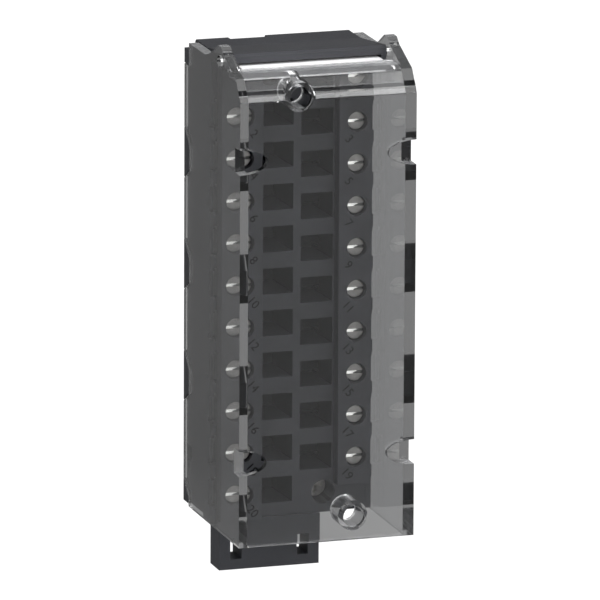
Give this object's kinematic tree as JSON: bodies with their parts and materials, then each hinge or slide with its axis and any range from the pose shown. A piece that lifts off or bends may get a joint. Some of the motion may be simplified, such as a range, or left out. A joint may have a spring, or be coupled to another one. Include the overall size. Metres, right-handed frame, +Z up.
{
  "type": "removable terminal block",
  "caption": "Plug-on screw terminal block with two staggered columns of wire entries, a clear hinged cover with screwdriver ports and captive fixing screws.",
  "frame": {"origin": "on the rear mating face, midway between the two captive fixing screws", "axes": "+Y out of the back, the way the fixing screws leave; +Z up along the columns of terminals; +X to the right seen from the wiring side"},
  "size_m": [0.0318, 0.0367, 0.095],
  "materials": {
    "housing_plastic": "fine satin moulded plastic, charcoal",
    "clear_plastic": "clear polycarbonate with a light smoke tint",
    "strip_white": "matt white",
    "screw_steel": "nickel-plated, satin",
    "cage_steel": "zinc-plated, satin",
    "contact_brass": "tinned brass"
  },
  "bodies": {
    "housing": {"front_housing": "housing_plastic", "rear_housing": "housing_plastic", "label_strip": "strip_white", "contacts_left": "contact_brass", "contacts_right": "contact_brass"},
    "cover": {"cover": "clear_plastic"},
    "fixing_screw_top": {"fixing_screw_top": "screw_steel"},
    "fixing_screw_bottom": {"fixing_screw_bottom": "screw_steel"},
    "clamp_screw_01": {"clamp_screw_01": "screw_steel"},
    "clamp_cage_01": {"clamp_cage_01": "cage_steel"},
    "clamp_screw_02": {"clamp_screw_02": "screw_steel"},
    "clamp_cage_02": {"clamp_cage_02": "cage_steel"},
    "clamp_screw_03": {"clamp_screw_03": "screw_steel"},
    "clamp_cage_03": {"clamp_cage_03": "cage_steel"},
    "clamp_screw_04": {"clamp_screw_04": "screw_steel"},
    "clamp_cage_04": {"clamp_cage_04": "cage_steel"},
    "clamp_screw_05": {"clamp_screw_05": "screw_steel"},
    "clamp_cage_05": {"clamp_cage_05": "cage_steel"},
    "clamp_screw_06": {"clamp_screw_06": "screw_steel"},
    "clamp_cage_06": {"clamp_cage_06": "cage_steel"},
    "clamp_screw_07": {"clamp_screw_07": "screw_steel"},
    "clamp_cage_07": {"clamp_cage_07": "cage_steel"},
    "clamp_screw_08": {"clamp_screw_08": "screw_steel"},
    "clamp_cage_08": {"clamp_cage_08": "cage_steel"},
    "clamp_screw_09": {"clamp_screw_09": "screw_steel"},
    "clamp_cage_09": {"clamp_cage_09": "cage_steel"},
    "clamp_screw_10": {"clamp_screw_10": "screw_steel"},
    "clamp_cage_10": {"clamp_cage_10": "cage_steel"},
    "clamp_screw_11": {"clamp_screw_11": "screw_steel"},
    "clamp_cage_11": {"clamp_cage_11": "cage_steel"},
    "clamp_screw_12": {"clamp_screw_12": "screw_steel"},
    "clamp_cage_12": {"clamp_cage_12": "cage_steel"},
    "clamp_screw_13": {"clamp_screw_13": "screw_steel"},
    "clamp_cage_13": {"clamp_cage_13": "cage_steel"},
    "clamp_screw_14": {"clamp_screw_14": "screw_steel"},
    "clamp_cage_14": {"clamp_cage_14": "cage_steel"},
    "clamp_screw_15": {"clamp_screw_15": "screw_steel"},
    "clamp_cage_15": {"clamp_cage_15": "cage_steel"},
    "clamp_screw_16": {"clamp_screw_16": "screw_steel"},
    "clamp_cage_16": {"clamp_cage_16": "cage_steel"},
    "clamp_screw_17": {"clamp_screw_17": "screw_steel"},
    "clamp_cage_17": {"clamp_cage_17": "cage_steel"},
    "clamp_screw_18": {"clamp_screw_18": "screw_steel"},
    "clamp_cage_18": {"clamp_cage_18": "cage_steel"},
    "clamp_screw_19": {"clamp_screw_19": "screw_steel"},
    "clamp_cage_19": {"clamp_cage_19": "cage_steel"},
    "clamp_screw_20": {"clamp_screw_20": "screw_steel"},
    "clamp_cage_20": {"clamp_cage_20": "cage_steel"}
  },
  "joints": [
    {"name": "cover_hinge", "type": "hinge", "parent": "housing", "child": "cover", "pos_m": [0, -0.02035, 0.04195], "axis": [-1, 0, 0], "range_deg": [0, 110]},
    {"name": "fixing_screw_top_turn", "type": "hinge", "parent": "housing", "child": "fixing_screw_top", "pos_m": [-0.005, -0.005, 0.0375], "axis": [0, 1, 0], "continuous": true},
    {"name": "fixing_screw_bottom_turn", "type": "hinge", "parent": "housing", "child": "fixing_screw_bottom", "pos_m": [0.005, -0.005, -0.0375], "axis": [0, 1, 0], "continuous": true},
    {"name": "clamp_screw_01_turn", "type": "hinge", "parent": "housing", "child": "clamp_screw_01", "pos_m": [0.01025, -0.012, 0.0365], "axis": [0, 1, 0], "range_deg": [0, 1296]},
    {"name": "clamp_cage_01_rise", "type": "slide", "parent": "housing", "child": "clamp_cage_01", "axis": [0, -1, 0], "range_m": [0, 0.0018]},
    {"name": "clamp_screw_02_turn", "type": "hinge", "parent": "housing", "child": "clamp_screw_02", "pos_m": [-0.01025, -0.012, 0.031], "axis": [0, 1, 0], "range_deg": [0, 1296]},
    {"name": "clamp_cage_02_rise", "type": "slide", "parent": "housing", "child": "clamp_cage_02", "axis": [0, -1, 0], "range_m": [0, 0.0018]},
    {"name": "clamp_screw_03_turn", "type": "hinge", "parent": "housing", "child": "clamp_screw_03", "pos_m": [0.01025, -0.012, 0.029], "axis": [0, 1, 0], "range_deg": [0, 1296]},
    {"name": "clamp_cage_03_rise", "type": "slide", "parent": "housing", "child": "clamp_cage_03", "axis": [0, -1, 0], "range_m": [0, 0.0018]},
    {"name": "clamp_screw_04_turn", "type": "hinge", "parent": "housing", "child": "clamp_screw_04", "pos_m": [-0.01025, -0.012, 0.0235], "axis": [0, 1, 0], "range_deg": [0, 1296]},
    {"name": "clamp_cage_04_rise", "type": "slide", "parent": "housing", "child": "clamp_cage_04", "axis": [0, -1, 0], "range_m": [0, 0.0018]},
    {"name": "clamp_screw_05_turn", "type": "hinge", "parent": "housing", "child": "clamp_screw_05", "pos_m": [0.01025, -0.012, 0.0215], "axis": [0, 1, 0], "range_deg": [0, 1296]},
    {"name": "clamp_cage_05_rise", "type": "slide", "parent": "housing", "child": "clamp_cage_05", "axis": [0, -1, 0], "range_m": [0, 0.0018]},
    {"name": "clamp_screw_06_turn", "type": "hinge", "parent": "housing", "child": "clamp_screw_06", "pos_m": [-0.01025, -0.012, 0.016], "axis": [0, 1, 0], "range_deg": [0, 1296]},
    {"name": "clamp_cage_06_rise", "type": "slide", "parent": "housing", "child": "clamp_cage_06", "axis": [0, -1, 0], "range_m": [0, 0.0018]},
    {"name": "clamp_screw_07_turn", "type": "hinge", "parent": "housing", "child": "clamp_screw_07", "pos_m": [0.01025, -0.012, 0.014], "axis": [0, 1, 0], "range_deg": [0, 1296]},
    {"name": "clamp_cage_07_rise", "type": "slide", "parent": "housing", "child": "clamp_cage_07", "axis": [0, -1, 0], "range_m": [0, 0.0018]},
    {"name": "clamp_screw_08_turn", "type": "hinge", "parent": "housing", "child": "clamp_screw_08", "pos_m": [-0.01025, -0.012, 0.0085], "axis": [0, 1, 0], "range_deg": [0, 1296]},
    {"name": "clamp_cage_08_rise", "type": "slide", "parent": "housing", "child": "clamp_cage_08", "axis": [0, -1, 0], "range_m": [0, 0.0018]},
    {"name": "clamp_screw_09_turn", "type": "hinge", "parent": "housing", "child": "clamp_screw_09", "pos_m": [0.01025, -0.012, 0.0065], "axis": [0, 1, 0], "range_deg": [0, 1296]},
    {"name": "clamp_cage_09_rise", "type": "slide", "parent": "housing", "child": "clamp_cage_09", "axis": [0, -1, 0], "range_m": [0, 0.0018]},
    {"name": "clamp_screw_10_turn", "type": "hinge", "parent": "housing", "child": "clamp_screw_10", "pos_m": [-0.01025, -0.012, 0.001], "axis": [0, 1, 0], "range_deg": [0, 1296]},
    {"name": "clamp_cage_10_rise", "type": "slide", "parent": "housing", "child": "clamp_cage_10", "axis": [0, -1, 0], "range_m": [0, 0.0018]},
    {"name": "clamp_screw_11_turn", "type": "hinge", "parent": "housing", "child": "clamp_screw_11", "pos_m": [0.01025, -0.012, -0.001], "axis": [0, 1, 0], "range_deg": [0, 1296]},
    {"name": "clamp_cage_11_rise", "type": "slide", "parent": "housing", "child": "clamp_cage_11", "axis": [0, -1, 0], "range_m": [0, 0.0018]},
    {"name": "clamp_screw_12_turn", "type": "hinge", "parent": "housing", "child": "clamp_screw_12", "pos_m": [-0.01025, -0.012, -0.0065], "axis": [0, 1, 0], "range_deg": [0, 1296]},
    {"name": "clamp_cage_12_rise", "type": "slide", "parent": "housing", "child": "clamp_cage_12", "axis": [0, -1, 0], "range_m": [0, 0.0018]},
    {"name": "clamp_screw_13_turn", "type": "hinge", "parent": "housing", "child": "clamp_screw_13", "pos_m": [0.01025, -0.012, -0.0085], "axis": [0, 1, 0], "range_deg": [0, 1296]},
    {"name": "clamp_cage_13_rise", "type": "slide", "parent": "housing", "child": "clamp_cage_13", "axis": [0, -1, 0], "range_m": [0, 0.0018]},
    {"name": "clamp_screw_14_turn", "type": "hinge", "parent": "housing", "child": "clamp_screw_14", "pos_m": [-0.01025, -0.012, -0.014], "axis": [0, 1, 0], "range_deg": [0, 1296]},
    {"name": "clamp_cage_14_rise", "type": "slide", "parent": "housing", "child": "clamp_cage_14", "axis": [0, -1, 0], "range_m": [0, 0.0018]},
    {"name": "clamp_screw_15_turn", "type": "hinge", "parent": "housing", "child": "clamp_screw_15", "pos_m": [0.01025, -0.012, -0.016], "axis": [0, 1, 0], "range_deg": [0, 1296]},
    {"name": "clamp_cage_15_rise", "type": "slide", "parent": "housing", "child": "clamp_cage_15", "axis": [0, -1, 0], "range_m": [0, 0.0018]},
    {"name": "clamp_screw_16_turn", "type": "hinge", "parent": "housing", "child": "clamp_screw_16", "pos_m": [-0.01025, -0.012, -0.0215], "axis": [0, 1, 0], "range_deg": [0, 1296]},
    {"name": "clamp_cage_16_rise", "type": "slide", "parent": "housing", "child": "clamp_cage_16", "axis": [0, -1, 0], "range_m": [0, 0.0018]},
    {"name": "clamp_screw_17_turn", "type": "hinge", "parent": "housing", "child": "clamp_screw_17", "pos_m": [0.01025, -0.012, -0.0235], "axis": [0, 1, 0], "range_deg": [0, 1296]},
    {"name": "clamp_cage_17_rise", "type": "slide", "parent": "housing", "child": "clamp_cage_17", "axis": [0, -1, 0], "range_m": [0, 0.0018]},
    {"name": "clamp_screw_18_turn", "type": "hinge", "parent": "housing", "child": "clamp_screw_18", "pos_m": [-0.01025, -0.012, -0.029], "axis": [0, 1, 0], "range_deg": [0, 1296]},
    {"name": "clamp_cage_18_rise", "type": "slide", "parent": "housing", "child": "clamp_cage_18", "axis": [0, -1, 0], "range_m": [0, 0.0018]},
    {"name": "clamp_screw_19_turn", "type": "hinge", "parent": "housing", "child": "clamp_screw_19", "pos_m": [0.01025, -0.012, -0.031], "axis": [0, 1, 0], "range_deg": [0, 1296]},
    {"name": "clamp_cage_19_rise", "type": "slide", "parent": "housing", "child": "clamp_cage_19", "axis": [0, -1, 0], "range_m": [0, 0.0018]},
    {"name": "clamp_screw_20_turn", "type": "hinge", "parent": "housing", "child": "clamp_screw_20", "pos_m": [-0.01025, -0.012, -0.0365], "axis": [0, 1, 0], "range_deg": [0, 1296]},
    {"name": "clamp_cage_20_rise", "type": "slide", "parent": "housing", "child": "clamp_cage_20", "axis": [0, -1, 0], "range_m": [0, 0.0018]}
  ],
  "couplings": [
    {"joint": "clamp_screw_01_turn", "follows": "clamp_cage_01_rise", "rad_per_m": 12566},
    {"joint": "clamp_screw_02_turn", "follows": "clamp_cage_02_rise", "rad_per_m": 12566},
    {"joint": "clamp_screw_03_turn", "follows": "clamp_cage_03_rise", "rad_per_m": 12566},
    {"joint": "clamp_screw_04_turn", "follows": "clamp_cage_04_rise", "rad_per_m": 12566},
    {"joint": "clamp_screw_05_turn", "follows": "clamp_cage_05_rise", "rad_per_m": 12566},
    {"joint": "clamp_screw_06_turn", "follows": "clamp_cage_06_rise", "rad_per_m": 12566},
    {"joint": "clamp_screw_07_turn", "follows": "clamp_cage_07_rise", "rad_per_m": 12566},
    {"joint": "clamp_screw_08_turn", "follows": "clamp_cage_08_rise", "rad_per_m": 12566},
    {"joint": "clamp_screw_09_turn", "follows": "clamp_cage_09_rise", "rad_per_m": 12566},
    {"joint": "clamp_screw_10_turn", "follows": "clamp_cage_10_rise", "rad_per_m": 12566},
    {"joint": "clamp_screw_11_turn", "follows": "clamp_cage_11_rise", "rad_per_m": 12566},
    {"joint": "clamp_screw_12_turn", "follows": "clamp_cage_12_rise", "rad_per_m": 12566},
    {"joint": "clamp_screw_13_turn", "follows": "clamp_cage_13_rise", "rad_per_m": 12566},
    {"joint": "clamp_screw_14_turn", "follows": "clamp_cage_14_rise", "rad_per_m": 12566},
    {"joint": "clamp_screw_15_turn", "follows": "clamp_cage_15_rise", "rad_per_m": 12566},
    {"joint": "clamp_screw_16_turn", "follows": "clamp_cage_16_rise", "rad_per_m": 12566},
    {"joint": "clamp_screw_17_turn", "follows": "clamp_cage_17_rise", "rad_per_m": 12566},
    {"joint": "clamp_screw_18_turn", "follows": "clamp_cage_18_rise", "rad_per_m": 12566},
    {"joint": "clamp_screw_19_turn", "follows": "clamp_cage_19_rise", "rad_per_m": 12566},
    {"joint": "clamp_screw_20_turn", "follows": "clamp_cage_20_rise", "rad_per_m": 12566}
  ]
}
